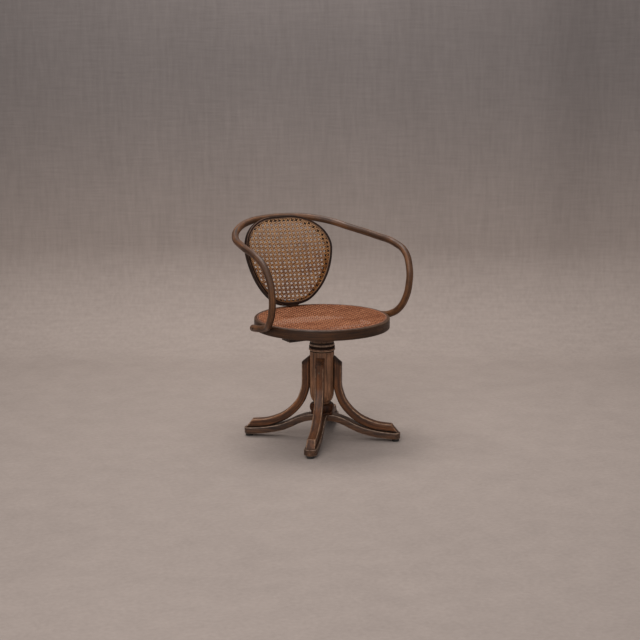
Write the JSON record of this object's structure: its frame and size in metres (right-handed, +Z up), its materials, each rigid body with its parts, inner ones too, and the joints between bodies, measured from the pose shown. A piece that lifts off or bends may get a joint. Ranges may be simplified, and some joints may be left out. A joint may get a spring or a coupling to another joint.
{
  "type": "swivel desk chair",
  "caption": "Bentwood desk chair: a round caned seat with a caned back and one bent rod as rail and arms turns and rises on a screw spindle above a base of bent legs and crossed bars.",
  "frame": {"origin": "on the floor, under the middle of the whole chair's bounding box; the turning axis is at x = 0, y = -0.05665 m", "axes": "+Z up along the turning axis, -Y towards the front of the seat, +X to the sitter's left"},
  "size_m": [0.5692, 0.5733, 0.7368],
  "materials": {
    "wood": "bent and turned beech, stained dark walnut, worn satin polish",
    "seat_cane": "woven rattan cane, reddish and worn",
    "back_cane": "woven rattan cane, golden tan",
    "leather": "black, oiled",
    "rubber": "black, matt",
    "iron": "dark, machined",
    "steel": "dulled with age"
  },
  "bodies": {
    "base": {"column": "wood", "lower_hub": "wood", "upper_leg_1": "wood", "upper_leg_2": "wood", "upper_leg_3": "wood", "upper_leg_4": "wood", "leg_1_upper_screw": "steel", "leg_1_lower_screw": "steel", "leg_2_upper_screw": "steel", "leg_2_lower_screw": "steel", "leg_3_upper_screw": "steel", "leg_3_lower_screw": "steel", "leg_4_upper_screw": "steel", "leg_4_lower_screw": "steel", "cross_bar_1": "wood", "cross_bar_2": "wood", "foot_screw_1": "steel", "foot_screw_2": "steel", "foot_screw_3": "steel", "foot_screw_4": "steel", "foot_pad_1": "rubber", "foot_pad_2": "rubber", "foot_pad_3": "rubber", "foot_pad_4": "rubber", "centre_washer": "steel", "centre_bolt": "steel", "spindle_nut": "iron", "nut_screw_1": "steel", "nut_screw_2": "steel"},
    "washer": {"thrust_washer": "leather"},
    "seat": {"turning_head": "wood", "spindle": "iron", "stop_collar": "iron", "seat_plate": "iron", "seat_ring": "wood", "seat_cane": "seat_cane", "front_bearer": "wood", "rear_bearer": "wood", "plate_screw_front_left": "steel", "plate_screw_front_right": "steel", "plate_screw_rear_left": "steel", "plate_screw_rear_right": "steel", "bearer_screw_front_left": "steel", "bearer_screw_front_right": "steel", "bearer_screw_rear_left": "steel", "bearer_screw_rear_right": "steel", "bent_rod": "wood", "rod_screw_left_front": "steel", "rod_screw_left_rear": "steel", "rod_screw_right_front": "steel", "rod_screw_right_rear": "steel", "back_frame": "wood", "back_cane": "back_cane", "back_screw_left": "steel", "back_screw_right": "steel", "back_foot_block": "wood", "back_foot_screw": "steel"}
  },
  "joints": [
    {"name": "seat_swivel", "type": "hinge", "parent": "base", "child": "washer", "pos_m": [0, -0.05665, 0.32], "axis": [0, 0, 1], "range_deg": [0, 3600]},
    {"name": "seat_lift", "type": "slide", "parent": "washer", "child": "seat", "axis": [0, 0, 1], "range_m": [0, 0.0801]}
  ],
  "couplings": [
    {"joint": "seat_lift", "follows": "seat_swivel", "m_per_rad": 0.0012732}
  ]
}
